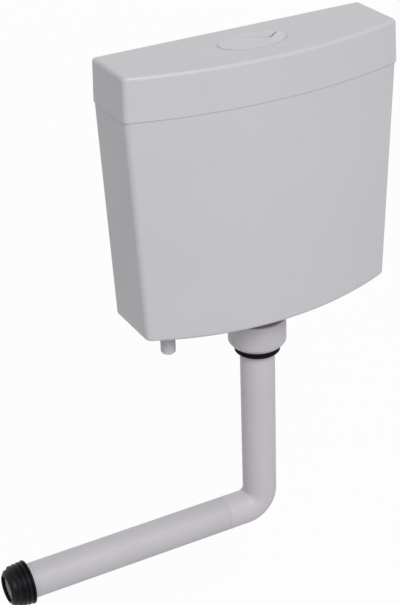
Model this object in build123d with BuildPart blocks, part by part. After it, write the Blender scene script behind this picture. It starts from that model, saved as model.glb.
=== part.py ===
from build123d import *
from math import atan2, degrees, hypot, sqrt
import os

os.makedirs("parts", exist_ok=True)

# A wall-hung low-level toilet cistern with a lift-off lid, a dual push button, a bottom water
# inlet, a drop valve and a flush pipe that turns to one side below the tank.
# Millimetres. X runs to the viewer's right, Y runs into the wall and Z runs up. The origin is
# midway between the two wall-fixing holes, on the flat back of the tank.

# Lid
lid_width = 400.0
lid_depth = 92.0
lid_bow = 33.0
lid_height = 58.0
lid_draft = 2.0
lid_wall = 2.4
lid_top_wall = 2.8
lid_top_round = 5.0
lid_front_radius = 8.0
lid_back_radius = 5.0
lid_overhang = 1.2
lid_clearance = 0.8

# Tank
tank_height = 314.0
tank_taper = 14.0
tank_base_depth = 95.0
tank_base_bow = 36.0
tank_front_radius = 10.0
tank_back_radius = 6.0
tank_bottom_round = 5.0
back_trim = 0.1
belly_drop = 6.0
floor_thickness = 4.0
upstand_wall = 2.4
upstand_height = 12.0

# Wall fixings
fixing_spacing = 260.0
fixing_hole_radius = 4.5
fixing_boss_radius = 11.0
fixing_boss_height = 3.0
rim_above_fixings = 40.0

# Places of the two valves
outlet_from_wall = 60.0
inlet_from_side = 47.5

# Outlet through the floor
pad_radius = 46.0
pad_below_belly = 0.6
pad_above_floor = 1.5
outlet_tail_radius = 29.8
outlet_bore_radius = 25.6
outlet_tail_length = 57.4
outlet_hole_clearance = 0.5
gasket_radius = 40.0
gasket_thickness = 2.5
base_flange_radius = 41.0
base_flange_thickness = 3.5
seat_height = 6.5
seat_width = 3.0
backnut_radius = 38.0
backnut_height = 12.0
backnut_flutes = 12
backnut_flute_radius = 4.0
thread_clearance = 0.1

# Union nut and its rubber seal
union_radius = 41.5
union_top_gap = 10.4
union_straight_height = 36.4
union_taper_height = 8.0
union_mouth_radius = 33.8
union_bore_clearance = 0.2
union_rim_chamfer = 1.0
nut_round_share = 0.2
seal_lip_radius = 32.6
seal_lip_height = 9.6
seal_groove_radius = 31.2
seal_groove_width = 1.4
seal_edge_round = 0.6
seal_tip_thickness = 1.6
seal_tip_height = 3.0

# Flush bend, leg and cone
pipe_radius = 25.0
pipe_wall = 2.0
pipe_in_outlet = 22.0
leg_axis_below_tank = 344.0
elbow_radius = 28.0
bend_stub = 34.0
leg_end_from_outlet = 405.0
leg_spigot_length = 24.0
spigot_clearance = 0.05
pipe_running_clearance = 0.06
joint_chamfer = 0.5
cone_length = 34.0
cone_lip_length = 5.0
cone_mouth_radius = 18.6
cone_rim_radius = 20.8
cone_rim_round = 1.2
cone_nose_length = 3.8
cone_nose_radius = 25.6
cone_sleeve_wall = 1.5
cone_groove_radius = 28.4
cone_fin_radius = 31.6
cone_fin_step = 0.6
cone_fin_width = 2.2
cone_fin_slope = 1.2
cone_fin_pitch = 6.6
cone_fin_count = 4
cone_mouth_groove = 0.7

# Water inlet
inlet_thread_radius = 10.48
inlet_shank_radius = 10.2
inlet_shank_below_nut = 1.0
inlet_bore_radius = 7.0
inlet_tail_length = 42.5
inlet_flange_radius = 15.0
inlet_flange_thickness = 3.0
inlet_washer_thickness = 2.0
inlet_pad_radius = 18.0
inlet_pad_height = 5.0
inlet_pad_below = 0.8
inlet_hole_clearance = 0.4
inlet_nut_width = 30.0
inlet_nut_height = 9.0
inlet_end_chamfer = 1.0
strainer_length = 22.0
strainer_wall = 1.0
strainer_slot_width = 1.6
strainer_slot_height = 3.0
strainer_rows = 4
strainer_lip = 1.0

# Float valve
riser_radius = 9.0
riser_wall = 2.5
riser_top_below_fixings = 6.0
riser_stop_radius = 13.0
riser_stop_thickness = 3.0
head_radius = 14.0
head_height = 16.0
diaphragm_radius = 13.0
diaphragm_thickness = 2.0
cap_wall = 2.0
cap_skirt = 6.0
cap_top = 6.0
cap_clearance = 0.1
cap_pin_radius = 2.0
cap_pin_height = 1.5
refill_offset = 24.5
refill_radius = 6.0
refill_wall = 1.4
refill_length = 190.0
refill_socket_radius = 7.6
refill_socket_height = 15.0
refill_socket_cover = 9.0
lever_pivot_offset = 8.0
lever_pivot_rise = 8.0
lever_width = 8.0
lever_thickness = 4.0
lever_nose_length = 11.0
lever_pin_radius = 1.5
lever_hub_radius = 3.6
pin_running_clearance = 0.05
lever_ear_thickness = 2.5
lever_ear_gap = 0.4
lever_ear_width = 8.0
lever_slot_length = 11.0
lever_slot_width = 5.0
rod_offset = 34.0
float_rod_radius = 2.0
float_rod_top = 44.0
float_nut_radius = 5.0
float_nut_height = 4.0
float_nut_play = 2.3
float_left = 14.0
float_right = 44.0
float_width = 38.0
float_height = 48.0
float_top_below_fixings = 42.0
float_wall = 1.6
float_corner = 6.0
float_clearance = 1.0
float_rest_gap = 0.3
float_sleeve_wall = 1.6

# Flush valve
cage_radius = 36.0
cage_wall = 3.0
cage_height = 78.0
cage_top_thickness = 3.0
window_count = 6
window_width = 22.0
window_height = 40.0
window_sill = 4.0
tube_radius = 15.0
tube_wall = 1.6
tube_guide_clearance = 0.5
overflow_below_fixings = 10.0
tube_below_seat = 2.0
tube_flange_radius = 27.0
tube_flange_thickness = 3.0
flush_seal_radius = 31.0
flush_seal_thickness = 3.0
flush_seal_gap = 0.3
column_offset = 20.0
column_thickness = 4.0
column_width = 14.0
column_top = 33.0
column_round = 6.0
guide_ring_height = 5.0
guide_ring_below_fixings = 45.0
yoke_width = 10.0
yoke_thickness = 3.0
yoke_root_height = 12.0
hook_thickness = 2.5
hook_inner = 16.0
hook_outer = 29.0
hook_side = 17.0

# Rockers that turn a push into a lift
rocker_pivot_height = 26.0
rocker_pin_radius = 1.5
rocker_hub_radius = 4.5
rocker_side_gap = 0.3
rocker_bar_width = 6.0
rocker_bar_inner = 10.0
rocker_bar_thickness = 5.0
rocker_elbow_reach = 8.0
rocker_drop = 12.0
rocker_reach = 22.0
rocker_pad_past_centre = 3.0
touch_gap = 0.3

# Half-flush float slider
slider_thickness = 3.0
slider_width = 8.0
slider_length = 178.0
slider_float_height = 46.0
slider_float_width = 30.0
slider_float_depth = 16.0
slider_float_above_end = 8.0
slider_guide_wall = 2.0
slider_guide_height = 6.0
slider_guide_clearance = 0.4
slider_guide_pitch = 50.0

# Push button in the lid
button_half_length = 50.0
button_half_width = 31.0
recess_depth = 12.0
recess_wall = 2.0
recess_floor = 2.4
tray_clearance = 0.3
tray_wall = 1.3
tray_floor = 1.6
shank_radius = 19.0
shank_wall = 2.5
shank_length = 20.0
shank_clearance = 0.3
shank_end_thickness = 2.4
collar_nut_radius = 24.5
collar_nut_height = 8.0
collar_nut_flutes = 10
collar_nut_flute_radius = 3.2
button_gap = 0.6
button_wall = 2.0
button_edge_above_lid = 0.4
button_skirt = 4.0
button_crown = 3.6
split_gap = 0.7
split_wide_gap = 1.7
split_near_radius = 30.0
split_turn_radius = 8.0
rod_from_centre = 11.0
push_rod_radius = 2.5
push_rod_clearance = 0.3
stem_radius = 4.6
stem_length = 3.0
spring_wire_radius = 0.4
spring_coil_radius = 3.7
spring_turns = 5
spring_wire_sides = 6

# One overrun for all cuts
overrun = 1.0

# Places that follow from the sizes above
rim_z = rim_above_fixings
lid_top_z = rim_z + lid_height
tank_corner_z = rim_z - tank_height
belly_z = tank_corner_z - belly_drop
lid_base_width = lid_width + 2 * lid_draft
lid_base_depth = lid_depth + lid_draft
tank_base_width = lid_base_width - 2 * tank_taper
tank_top_width = lid_base_width - 2 * lid_overhang
tank_top_depth = lid_base_depth - lid_overhang
side_step = lid_wall - lid_overhang + lid_clearance
back_step = lid_wall + lid_clearance
side_wall = side_step + upstand_wall
back_wall = back_step + upstand_wall
valve_y = -outlet_from_wall
inlet_x = -(tank_base_width / 2 - inlet_from_side)
pad_bottom_z = belly_z - pad_below_belly
pad_top_z = belly_z + floor_thickness + pad_above_floor
base_z = pad_top_z + gasket_thickness
flange_top_z = base_z + base_flange_thickness
seat_z = flange_top_z + seat_height
outlet_end_z = pad_bottom_z - outlet_tail_length
backnut_bottom_z = pad_bottom_z - backnut_height
union_top_z = backnut_bottom_z - union_top_gap
union_shoulder_z = union_top_z - union_straight_height
union_bottom_z = union_shoulder_z - union_taper_height
leg_z = belly_z - leg_axis_below_tank
pipe_top_z = outlet_end_z + pipe_in_outlet
pipe_bore_radius = pipe_radius - pipe_wall
bend_end_x = -(elbow_radius + bend_stub)
leg_end_x = -leg_end_from_outlet
inlet_floor_z = belly_z + belly_drop * (2 * inlet_x / tank_base_width) ** 2
inlet_pad_bottom_z = inlet_floor_z - inlet_pad_below
inlet_pad_top_z = inlet_floor_z + inlet_pad_height
inlet_flange_z = inlet_pad_top_z + inlet_washer_thickness
riser_bottom_z = inlet_flange_z + inlet_flange_thickness
riser_top_z = -riser_top_below_fixings
head_top_z = riser_top_z + head_height
cap_z = head_top_z + diaphragm_thickness
cap_top_z = cap_z + cap_top
lever_z = cap_top_z + lever_pivot_rise
lever_x = inlet_x + lever_pivot_offset
rod_x = inlet_x + rod_offset
float_top_z = -float_top_below_fixings
float_bottom_z = float_top_z - float_height
cage_top_z = flange_top_z + cage_height
overflow_z = -overflow_below_fixings
seal_z = seat_z + flush_seal_gap
tube_flange_z = seal_z + flush_seal_thickness
tube_bottom_z = seat_z - tube_below_seat
pivot_z = rocker_pivot_height
nose_top_z = pivot_z - rocker_drop + rocker_bar_width / 2
hook_z = nose_top_z + touch_gap
pad_up_z = pivot_z + rocker_bar_width / 2
recess_z = lid_top_z - recess_depth
tray_top_z = recess_z + tray_floor
shank_bottom_z = recess_z - shank_length
guide_z = shank_bottom_z + shank_end_thickness
button_edge_z = lid_top_z + button_edge_above_lid
button_base_z = button_edge_z - button_skirt
stem_z = button_base_z - stem_length
spring_height = stem_z - guide_z


# The outline of tank and lid seen from above: a straight back, straight sides and a bowed front.
# It is measured from the wall, and inset moves every side inwards.
def bowed_outline(plane, width, back, depth, bow, back_radius, front_radius, inset=0.0):
    half = width / 2
    with BuildSketch(plane) as outline:
        with BuildLine():
            Polyline((-half, -depth), (-half, -back), (half, -back), (half, -depth))
            ThreePointArc((half, -depth), (0, -depth - bow), (-half, -depth))
        make_face()
        fillet(outline.vertices().group_by(Axis.Y)[-1], back_radius)
        fillet(outline.vertices().group_by(Axis.Y)[0], front_radius)
        if inset > 0:
            offset(amount=-inset, mode=Mode.REPLACE)
    return outline.sketch


# The space below the floor's gentle arc, which falls from both ends to the outlet.
def below_floor(lift):
    half = tank_base_width / 2
    deep_z = belly_z - tank_base_depth
    with BuildSketch(Plane.XZ) as section:
        with BuildLine():
            ThreePointArc((-half, tank_corner_z + lift), (0, belly_z + lift), (half, tank_corner_z + lift))
            Polyline(
                (half, tank_corner_z + lift),
                (lid_width, tank_corner_z + lift),
                (lid_width, deep_z),
                (-lid_width, deep_z),
                (-lid_width, tank_corner_z + lift),
                (-half, tank_corner_z + lift),
            )
        make_face()
    extrude(section.sketch, amount=lid_width, both=True, mode=Mode.SUBTRACT)


# Tank: the water space, cut from the moulding later
with BuildPart() as water_space:
    top = bowed_outline(
        Plane.XY.offset(rim_z), tank_top_width, 0, tank_top_depth,
        lid_bow, tank_back_radius, tank_front_radius, side_wall,
    )
    base = bowed_outline(
        Plane.XY.offset(belly_z), tank_base_width, 0, tank_base_depth,
        tank_base_bow, tank_back_radius, tank_front_radius, side_wall,
    )
    loft([top, base], ruled=True)
    extrude(top, amount=upstand_height + overrun)
    below_floor(floor_thickness)
    with BuildSketch(Plane.XY.offset(belly_z - overrun)):
        with Locations((0, 0)):
            Rectangle(lid_width, 2 * back_wall)
    extrude(amount=tank_height + lid_height, mode=Mode.SUBTRACT)

# Tank: one moulding, widest at the rim, with a bowed front and a floor that falls to the outlet
with BuildPart() as tank:
    top = bowed_outline(
        Plane.XY.offset(rim_z), tank_top_width, -back_trim, tank_top_depth,
        lid_bow, tank_back_radius, tank_front_radius,
    )
    base = bowed_outline(
        Plane.XY.offset(belly_z), tank_base_width, -back_trim, tank_base_depth,
        tank_base_bow, tank_back_radius, tank_front_radius,
    )
    loft([top, base], ruled=True)
    below_floor(0)
    fillet(tank.faces().sort_by(Axis.Z)[0].edges(), tank_bottom_round)
    with BuildSketch(Plane.XY.offset(belly_z - overrun)):
        with Locations((0, overrun / 2)):
            Rectangle(lid_base_width, overrun)
    extrude(amount=tank_height + lid_height, mode=Mode.SUBTRACT)
    upstand = bowed_outline(
        Plane.XY.offset(rim_z), tank_top_width - 2 * side_step, back_step, tank_top_depth - side_step,
        lid_bow, tank_back_radius, tank_front_radius,
    )
    extrude(upstand, amount=upstand_height)
    add(water_space.part, mode=Mode.SUBTRACT)
    with BuildSketch(Plane.XY.offset(pad_bottom_z)):
        with Locations((0, valve_y)):
            Circle(pad_radius)
    extrude(amount=pad_top_z - pad_bottom_z)
    with BuildSketch(Plane.XY.offset(inlet_pad_bottom_z)):
        with Locations((inlet_x, valve_y)):
            Circle(inlet_pad_radius)
    extrude(amount=inlet_pad_top_z - inlet_pad_bottom_z)
    with BuildSketch(Plane.XZ.offset(back_wall - overrun)):
        with GridLocations(fixing_spacing, 0, 2, 1):
            Circle(fixing_boss_radius)
    extrude(amount=fixing_boss_height + overrun)
    with BuildSketch(Plane.XY.offset(pad_bottom_z - overrun)):
        with Locations((0, valve_y)):
            Circle(outlet_tail_radius + outlet_hole_clearance)
        with Locations((inlet_x, valve_y)):
            Circle(inlet_thread_radius + inlet_hole_clearance)
    extrude(amount=inlet_pad_top_z - pad_bottom_z + 2 * overrun, mode=Mode.SUBTRACT)
    with BuildSketch(Plane.XZ.offset(-overrun)):
        with GridLocations(fixing_spacing, 0, 2, 1):
            Circle(fixing_hole_radius)
    extrude(amount=back_wall + fixing_boss_height + 2 * overrun, mode=Mode.SUBTRACT)
tank.part.label = "tank"
export_step(tank.part, "parts/tank.step")

# Lid: a deep cap whose skirt fits over the tank's upstand and rests on its rim, with an oval
# well in the top for the push button
with BuildPart() as lid:
    top = bowed_outline(
        Plane.XY.offset(lid_top_z), lid_width, 0, lid_depth, lid_bow, lid_back_radius, lid_front_radius,
    )
    base = bowed_outline(
        Plane.XY.offset(rim_z), lid_base_width, 0, lid_base_depth,
        lid_bow, lid_back_radius, lid_front_radius,
    )
    loft([top, base], ruled=True)
    fillet(lid.faces().sort_by(Axis.Z)[-1].edges(), lid_top_round)
    hollow_top = bowed_outline(
        Plane.XY.offset(lid_top_z - lid_top_wall), lid_width, 0, lid_depth,
        lid_bow, lid_back_radius, lid_front_radius, lid_wall,
    )
    hollow_base = bowed_outline(
        Plane.XY.offset(rim_z), lid_base_width, 0, lid_base_depth,
        lid_bow, lid_back_radius, lid_front_radius, lid_wall,
    )
    loft([hollow_top, hollow_base], ruled=True, mode=Mode.SUBTRACT)
    with BuildSketch(Plane.XY.offset(recess_z - recess_floor)):
        with Locations((0, valve_y)):
            Ellipse(button_half_length + recess_wall, button_half_width + recess_wall)
    extrude(amount=recess_depth + recess_floor - lid_top_wall / 2)
    with BuildSketch(Plane.XY.offset(recess_z)):
        with Locations((0, valve_y)):
            Ellipse(button_half_length, button_half_width)
    extrude(amount=recess_depth + overrun, mode=Mode.SUBTRACT)
    with BuildSketch(Plane.XY.offset(recess_z - recess_floor - overrun)):
        with Locations((0, valve_y)):
            Circle(shank_radius + shank_clearance)
    extrude(amount=recess_floor + 2 * overrun, mode=Mode.SUBTRACT)
lid.part.label = "lid"
export_step(lid.part, "parts/lid.step")

# Button tray: an oval dish in the lid's well, with a hollow threaded shank that the push rods
# run through
with BuildPart() as button_tray:
    with BuildSketch(Plane.XY.offset(recess_z)):
        with Locations((0, valve_y)):
            Ellipse(button_half_length - tray_clearance, button_half_width - tray_clearance)
    extrude(amount=recess_depth)
    with BuildSketch(Plane.XY.offset(shank_bottom_z)):
        with Locations((0, valve_y)):
            Circle(shank_radius)
    extrude(amount=shank_length)
    with BuildSketch(Plane.XY.offset(tray_top_z)):
        with Locations((0, valve_y)):
            Ellipse(
                button_half_length - tray_clearance - tray_wall,
                button_half_width - tray_clearance - tray_wall,
            )
    extrude(amount=recess_depth, mode=Mode.SUBTRACT)
    with BuildSketch(Plane.XY.offset(guide_z)):
        with Locations((0, valve_y)):
            Circle(shank_radius - shank_wall)
    extrude(amount=shank_length, mode=Mode.SUBTRACT)
    with BuildSketch(Plane.XY.offset(shank_bottom_z - overrun)):
        with Locations((0, valve_y)):
            with GridLocations(0, 2 * rod_from_centre, 1, 2):
                Circle(push_rod_radius + push_rod_clearance)
    extrude(amount=shank_end_thickness + 2 * overrun, mode=Mode.SUBTRACT)
button_tray.part.label = "button_tray"
export_step(button_tray.part, "parts/button_tray.step")


# A round nut with finger flutes, threaded onto the outside of a tube.
def fluted_nut(top_z, height, radius, bore, flutes, flute_radius):
    with BuildSketch(Plane.XY.offset(top_z - height)) as section:
        with Locations((0, valve_y)):
            Circle(radius)
            Circle(bore, mode=Mode.SUBTRACT)
            with PolarLocations(radius + flute_radius / 2, flutes):
                Circle(flute_radius, mode=Mode.SUBTRACT)
    extrude(section.sketch, amount=height)


# Collar nut: holds the tray in the lid from below
with BuildPart() as button_collar_nut:
    fluted_nut(
        recess_z - recess_floor, collar_nut_height, collar_nut_radius,
        shank_radius + thread_clearance, collar_nut_flutes, collar_nut_flute_radius,
    )
button_collar_nut.part.label = "button_collar_nut"
export_step(button_collar_nut.part, "parts/button_collar_nut.step")


# The crowned oval that both buttons are cut from. Its top belongs to a wide ring whose section is
# an arc, so that it curves both ways and meets the oval's edge at one height.
def crowned_oval(half_length, half_width, bottom_z, edge_z, crown):
    long_radius = (half_length ** 2 + crown ** 2) / (2 * crown)
    short_radius = (half_width ** 2 + crown ** 2) / (2 * crown)
    reach = half_length + overrun
    fall = long_radius - sqrt(long_radius ** 2 - reach ** 2)
    axis_z = edge_z + crown - short_radius
    foot_z = axis_z - short_radius
    inner_z = foot_z + edge_z + crown - bottom_z + 2 * crown
    with BuildPart() as oval:
        with BuildSketch(Plane.XZ):
            with BuildLine():
                ThreePointArc((-reach, foot_z + fall), (0, foot_z), (reach, foot_z + fall))
                Polyline(
                    (reach, foot_z + fall), (reach, inner_z), (-reach, inner_z), (-reach, foot_z + fall),
                )
            make_face()
        revolve(axis=Axis((0, 0, axis_z), (1, 0, 0)))
        with BuildSketch(Plane.XY.offset(bottom_z)):
            Ellipse(half_length, half_width)
        extrude(amount=edge_z + crown - bottom_z + overrun, mode=Mode.INTERSECT)
    return oval.part


button_length = button_half_length - tray_clearance - tray_wall - button_gap
button_width = button_half_width - tray_clearance - tray_wall - button_gap
button_skin = crowned_oval(button_length, button_width, button_base_z, button_edge_z, button_crown)
button_hollow = crowned_oval(
    button_length - button_wall, button_width - button_wall,
    button_base_z - overrun, button_edge_z - button_wall, button_crown,
)

# The split between the two buttons, in shares of the oval: it runs from the left end to the
# middle, turns at the front and leaves towards the back right.
split_shares = ((-1.2, 0.52), (-0.3, 0.42), (0.38, -0.34), (1.2, 0.92))


# One of the two buttons: the dome on one side of the split, hollow below, with a stem.
def half_button(front, rod_y):
    side = -1 if front else 1
    gap = side * split_gap / 2
    wide = split_wide_gap if front else 0
    points = [(u * button_half_length, v * button_half_width + gap) for u, v in split_shares]
    points[2] = (points[2][0] + wide / 2, points[2][1] - wide / 2)
    points[3] = (points[3][0] + wide, points[3][1] - wide)
    far_y = side * 2 * button_half_width
    with Locations((0, valve_y)):
        add(button_skin)
        add(button_hollow, mode=Mode.SUBTRACT)
    with BuildSketch(Plane((0, valve_y, button_base_z - overrun))) as keep:
        with BuildLine():
            FilletPolyline(*points, radius=[split_near_radius, split_turn_radius])
            Polyline(points[3], (points[3][0], far_y), (points[0][0], far_y), points[0])
        make_face()
    extrude(keep.sketch, amount=button_skirt + button_crown + 3 * overrun, mode=Mode.INTERSECT)
    with BuildSketch(Plane.XY.offset(stem_z)) as stem:
        with Locations((0, rod_y)):
            Circle(stem_radius)
    extrude(stem.sketch, amount=button_edge_z + button_crown / 2 - stem_z)


full_rod_y = valve_y - rod_from_centre
half_rod_y = valve_y + rod_from_centre

# Full-flush button: the front part of the oval
with BuildPart() as full_flush_button:
    half_button(True, full_rod_y)
full_flush_button.part.label = "full_flush_button"
export_step(full_flush_button.part, "parts/full_flush_button.step")

# Half-flush button: the smaller part at the back
with BuildPart() as half_flush_button:
    half_button(False, half_rod_y)
half_flush_button.part.label = "half_flush_button"
export_step(half_flush_button.part, "parts/half_flush_button.step")


# Push rods: hang from the buttons' stems down to the rockers
with BuildPart() as full_push_rod:
    with BuildSketch(Plane.XY.offset(pad_up_z + touch_gap)):
        with Locations((0, full_rod_y)):
            Circle(push_rod_radius)
    extrude(amount=stem_z - pad_up_z - touch_gap)
full_push_rod.part.label = "full_push_rod"
export_step(full_push_rod.part, "parts/full_push_rod.step")

with BuildPart() as half_push_rod:
    with BuildSketch(Plane.XY.offset(pad_up_z + touch_gap)):
        with Locations((0, half_rod_y)):
            Circle(push_rod_radius)
    extrude(amount=stem_z - pad_up_z - touch_gap)
half_push_rod.part.label = "half_push_rod"
export_step(half_push_rod.part, "parts/half_push_rod.step")


# Button spring: a coil of wire round the push rod, between the tray's end wall and the stem.
def button_spring(rod_y):
    coil_height = spring_height - 2 * spring_wire_radius
    with BuildLine() as coil:
        Helix(
            pitch=coil_height / spring_turns, height=coil_height, radius=spring_coil_radius,
            center=(0, rod_y, guide_z + spring_wire_radius),
        )
    with BuildSketch(Plane(origin=coil.line @ 0, z_dir=coil.line % 0)) as wire:
        RegularPolygon(spring_wire_radius, spring_wire_sides)
    sweep(wire.sketch, path=coil.line)


with BuildPart() as full_button_spring:
    button_spring(full_rod_y)
full_button_spring.part.label = "full_button_spring"
export_step(full_button_spring.part, "parts/full_button_spring.step")

with BuildPart() as half_button_spring:
    button_spring(half_rod_y)
half_button_spring.part.label = "half_button_spring"
export_step(half_button_spring.part, "parts/half_button_spring.step")


# A flat ring or disc round one of the two valves' axes.
def ring(bottom_z, height, outer, inner=0.0, centre_x=0.0, mode=Mode.ADD):
    with BuildSketch(Plane.XY.offset(bottom_z)) as section:
        with Locations((centre_x, valve_y)):
            Circle(outer)
            if inner > 0:
                Circle(inner, mode=Mode.SUBTRACT)
    extrude(section.sketch, amount=height, mode=mode)


# Outlet gasket: rubber ring between the tank's floor pad and the flush valve's flange
with BuildPart() as outlet_gasket:
    ring(pad_top_z, gasket_thickness, gasket_radius, outlet_tail_radius + outlet_hole_clearance)
outlet_gasket.part.label = "outlet_gasket"
export_step(outlet_gasket.part, "parts/outlet_gasket.step")

# Flush valve base: the flange inside the tank, the valve seat and the tail through the floor
with BuildPart() as flush_valve_base:
    ring(base_z, base_flange_thickness, base_flange_radius, outlet_bore_radius)
    ring(flange_top_z, seat_height, outlet_bore_radius + seat_width, outlet_bore_radius)
    ring(outlet_end_z, base_z - outlet_end_z, outlet_tail_radius, outlet_bore_radius)
flush_valve_base.part.label = "flush_valve_base"
export_step(flush_valve_base.part, "parts/flush_valve_base.step")

# Outlet backnut: clamps the flush valve base to the floor from below
with BuildPart() as outlet_backnut:
    fluted_nut(
        pad_bottom_z, backnut_height, backnut_radius, outlet_tail_radius + thread_clearance,
        backnut_flutes, backnut_flute_radius,
    )
outlet_backnut.part.label = "outlet_backnut"
export_step(outlet_backnut.part, "parts/outlet_backnut.step")

# Flush valve cage: a drum round the seat, with tall windows that let the water in at its foot
with BuildPart() as flush_valve_cage:
    ring(flange_top_z, cage_height, cage_radius, cage_radius - cage_wall)
    ring(
        cage_top_z - cage_top_thickness, cage_top_thickness, cage_radius,
        tube_radius + tube_guide_clearance,
    )
    for turn in range(window_count):
        with BuildSketch(Plane.YZ) as window:
            with Locations((0, flange_top_z + window_sill + window_height / 2)):
                SlotOverall(window_height, window_width, rotation=90)
        turned = Location((0, valve_y, 0), (0, 0, 360 / window_count * (turn + 0.5)))
        extrude(window.sketch.moved(turned), amount=2 * cage_radius, mode=Mode.SUBTRACT)
flush_valve_cage.part.label = "flush_valve_cage"
export_step(flush_valve_cage.part, "parts/flush_valve_cage.step")

# Slider places: the half-flush float hangs in front of the left column
slider_x = -(rocker_bar_inner + rocker_bar_thickness / 2)
slider_y = valve_y - hook_outer - slider_thickness / 2
guide_out_y = slider_y - slider_thickness / 2 - slider_guide_clearance - slider_guide_wall
guide_in_y = slider_y + slider_thickness / 2 + slider_guide_clearance + slider_guide_wall
upper_guide_z = overflow_z
lower_guide_z = upper_guide_z - slider_guide_pitch

# Valve tower: two columns on the cage, which carry the rockers' pin, the ring that guides the
# overflow tube and two eyes that guide the half-flush float
with BuildPart() as valve_tower:
    with BuildSketch(Plane.YZ.offset(column_offset)) as column:
        with Locations((valve_y, (cage_top_z + column_top) / 2)):
            Rectangle(column_width, column_top - cage_top_z)
        fillet(column.vertices().group_by(Axis.Y)[-1], column_round)
        with Locations((valve_y, pivot_z)):
            Circle(rocker_pin_radius + pin_running_clearance, mode=Mode.SUBTRACT)
    extrude(column.sketch, amount=column_thickness)
    left_column = Location((-2 * column_offset - column_thickness, 0, 0))
    extrude(column.sketch.moved(left_column), amount=column_thickness)
    ring(
        -guide_ring_below_fixings, guide_ring_height, column_offset + column_thickness / 2,
        tube_radius + tube_guide_clearance,
    )
    for guide_z_low in (upper_guide_z, lower_guide_z):
        with BuildSketch(Plane.XY.offset(guide_z_low)) as eye:
            with Locations((-column_offset - column_thickness / 2, (guide_out_y + valve_y) / 2)):
                Rectangle(column_thickness, valve_y - guide_out_y)
            left_x = -column_offset - column_thickness
            right_x = slider_x + slider_width / 2 + slider_guide_clearance + slider_guide_wall
            with Locations(((left_x + right_x) / 2, (guide_out_y + guide_in_y) / 2)):
                Rectangle(right_x - left_x, guide_in_y - guide_out_y)
            with Locations((slider_x, slider_y)):
                Rectangle(
                    slider_width + 2 * slider_guide_clearance,
                    slider_thickness + 2 * slider_guide_clearance,
                    mode=Mode.SUBTRACT,
                )
        extrude(eye.sketch, amount=slider_guide_height)
valve_tower.part.label = "valve_tower"
export_step(valve_tower.part, "parts/valve_tower.step")

# Overflow tube: the moving tube of the flush valve, with the flange that carries the seal and
# a hooked strap that the full-flush rocker lifts
with BuildPart() as overflow_tube:
    ring(tube_bottom_z, overflow_z - tube_bottom_z, tube_radius, tube_radius - tube_wall)
    ring(tube_flange_z, tube_flange_thickness, tube_flange_radius, tube_radius - tube_wall)
    strap_inner_y = valve_y + hook_inner
    strap_outer_y = strap_inner_y + yoke_thickness
    root_y = valve_y + tube_radius - tube_wall / 2
    with BuildSketch(Plane.YZ.offset(-yoke_width / 2)) as strap:
        with BuildLine():
            Polyline(
                (root_y, overflow_z),
                (root_y, overflow_z - yoke_root_height),
                (strap_inner_y, overflow_z - yoke_root_height),
                (strap_outer_y, overflow_z - yoke_root_height / 2),
                (strap_outer_y, hook_z + hook_thickness),
                (strap_inner_y, hook_z + hook_thickness),
                (strap_inner_y, overflow_z),
                (root_y, overflow_z),
            )
        make_face()
    extrude(strap.sketch, amount=yoke_width)
    with BuildSketch(Plane.XY.offset(hook_z)) as hook:
        with Locations(((hook_side - yoke_width / 2) / 2, valve_y + (hook_inner + hook_outer) / 2)):
            RectangleRounded(hook_side + yoke_width / 2, hook_outer - hook_inner, yoke_thickness)
    extrude(hook.sketch, amount=hook_thickness)
overflow_tube.part.label = "overflow_tube"
export_step(overflow_tube.part, "parts/overflow_tube.step")

# Flush seal: the rubber disc under the tube's flange that closes the seat
with BuildPart() as flush_seal:
    ring(seal_z, flush_seal_thickness, flush_seal_radius, tube_radius + spigot_clearance)
flush_seal.part.label = "flush_seal"
export_step(flush_seal.part, "parts/flush_seal.step")


# A straight bar with round ends between two points of a sketch.
def link(start, end, width):
    reach = hypot(end[0] - start[0], end[1] - start[1])
    turn = degrees(atan2(end[1] - start[1], end[0] - start[0]))
    with Locations(((start[0] + end[0]) / 2, (start[1] + end[1]) / 2)):
        SlotCenterToCenter(reach, width, rotation=turn)


# A rocker: a hub on the pin, a pad under the push rod on one side and a cranked bar that ends
# in a nose under the hook on the other. side is 1 for the full flush and -1 for the half flush.
def rocker(side):
    pivot = (valve_y, pivot_z)
    elbow = (valve_y + side * rocker_elbow_reach, pivot_z - rocker_drop)
    nose = (valve_y + side * rocker_reach, pivot_z - rocker_drop)
    pad = (valve_y - side * rod_from_centre, pivot_z)
    bar_outer = rocker_bar_inner + rocker_bar_thickness
    hub_length = column_offset - 2 * rocker_side_gap
    pad_length = bar_outer + rocker_pad_past_centre
    with BuildSketch(Plane.YZ.offset(min(side * rocker_bar_inner, side * bar_outer))) as bar:
        for start, end in ((pivot, elbow), (elbow, nose), (pivot, pad)):
            link(start, end, rocker_bar_width)
    extrude(bar.sketch, amount=rocker_bar_thickness)
    hub_start = min(side * rocker_side_gap, side * (rocker_side_gap + hub_length))
    with BuildSketch(Plane.YZ.offset(hub_start)) as hub:
        with Locations(pivot):
            Circle(rocker_hub_radius)
    extrude(hub.sketch, amount=hub_length)
    with BuildSketch(Plane.YZ.offset(min(-side * rocker_pad_past_centre, side * bar_outer))) as foot:
        with Locations(pad):
            Circle(rocker_bar_width / 2)
    extrude(foot.sketch, amount=pad_length)
    with BuildSketch(Plane.YZ.offset(-column_offset)) as bore:
        with Locations(pivot):
            Circle(rocker_pin_radius + pin_running_clearance)
    extrude(bore.sketch, amount=2 * column_offset, mode=Mode.SUBTRACT)


# Full-flush rocker: pushed down at the front, it lifts the overflow tube at the back
with BuildPart() as full_flush_rocker:
    rocker(1)
full_flush_rocker.part.label = "full_flush_rocker"
export_step(full_flush_rocker.part, "parts/full_flush_rocker.step")

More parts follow.
